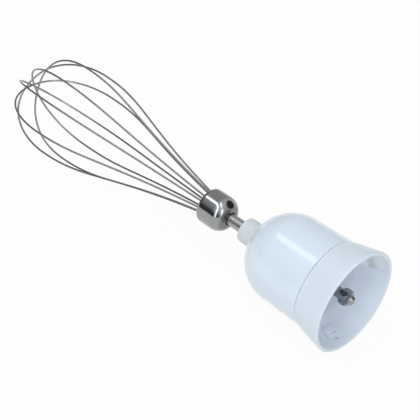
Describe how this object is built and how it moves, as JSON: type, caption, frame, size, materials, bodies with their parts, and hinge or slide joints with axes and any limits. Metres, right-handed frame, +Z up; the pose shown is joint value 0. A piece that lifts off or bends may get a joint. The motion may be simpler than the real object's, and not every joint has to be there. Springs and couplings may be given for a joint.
{
  "type": "stick blender whisk attachment",
  "caption": "Whisk attachment for a stick blender: bell-shaped planetary gearbox with an open coupling mouth, output sleeve and pull-out balloon whisk of steel wire.",
  "frame": {"origin": "centre of the bounding box's bottom face, on the surface the attachment lies on", "axes": "+X along the turning axis out of the coupling mouth, tipped down by about a quarter of a degree, +Z up"},
  "size_m": [0.2474, 0.0572, 0.0566],
  "materials": {
    "white_abs": "glossy white moulding with a cool cast",
    "satin_abs": "satin white moulding",
    "natural_pom": "natural, matte, slightly grey",
    "nylon": "natural nylon, matte",
    "bronze": "sintered, dull",
    "rubber": "matte black",
    "turned_steel": "turned and swaged",
    "steel": "ground",
    "polished_steel": "drawn and polished",
    "spring_wire": "drawn spring wire"
  },
  "bodies": {
    "gearbox": {"gear_housing": "white_abs", "coupling_collar": "satin_abs", "ring_gear": "nylon", "gear_cover": "nylon", "cover_screw_1": "steel", "cover_screw_2": "steel", "cover_screw_3": "steel", "spindle_bush": "bronze", "spindle_seal": "rubber", "output_bush": "nylon", "thrust_washer": "steel"},
    "drive": {"drive_spindle": "turned_steel", "sun_pinion": "turned_steel", "spindle_clip": "steel"},
    "carrier": {"planet_carrier": "natural_pom", "planet_pin_1": "steel", "planet_pin_2": "steel", "planet_pin_3": "steel", "socket_spring": "steel"},
    "planet_1": {"planet_gear_1": "nylon"},
    "planet_2": {"planet_gear_2": "nylon"},
    "planet_3": {"planet_gear_3": "nylon"},
    "whisk": {"whisk_shaft": "steel", "ferrule": "polished_steel", "wire_holder": "nylon", "wire_loop_1": "spring_wire", "wire_loop_2": "spring_wire", "wire_loop_3": "spring_wire", "wire_loop_4": "spring_wire", "wire_loop_5": "spring_wire"}
  },
  "joints": [
    {"name": "output_spin", "type": "hinge", "parent": "gearbox", "child": "carrier", "pos_m": [0.12352, 0, 0.02828], "axis": [1, 0, -0.0057], "continuous": true},
    {"name": "input_spin", "type": "hinge", "parent": "gearbox", "child": "drive", "pos_m": [0.12352, 0, 0.02828], "axis": [1, 0, -0.0057], "continuous": true},
    {"name": "planet_spin_1", "type": "hinge", "parent": "carrier", "child": "planet_1", "pos_m": [0.12347, 0, 0.01853], "axis": [1, 0, -0.0057], "continuous": true},
    {"name": "planet_spin_2", "type": "hinge", "parent": "carrier", "child": "planet_2", "pos_m": [0.12355, 0.00844, 0.03316], "axis": [1, 0, -0.0057], "continuous": true},
    {"name": "planet_spin_3", "type": "hinge", "parent": "carrier", "child": "planet_3", "pos_m": [0.12355, -0.00844, 0.03316], "axis": [1, 0, -0.0057], "continuous": true},
    {"name": "whisk_pull", "type": "slide", "parent": "carrier", "child": "whisk", "axis": [-1, 0, 0.0057], "range_m": [0, 0.03]}
  ],
  "couplings": [
    {"joint": "input_spin", "follows": "output_spin", "ratio": 6},
    {"joint": "planet_spin_1", "follows": "output_spin", "ratio": -2.5},
    {"joint": "planet_spin_2", "follows": "output_spin", "ratio": -2.5},
    {"joint": "planet_spin_3", "follows": "output_spin", "ratio": -2.5}
  ]
}
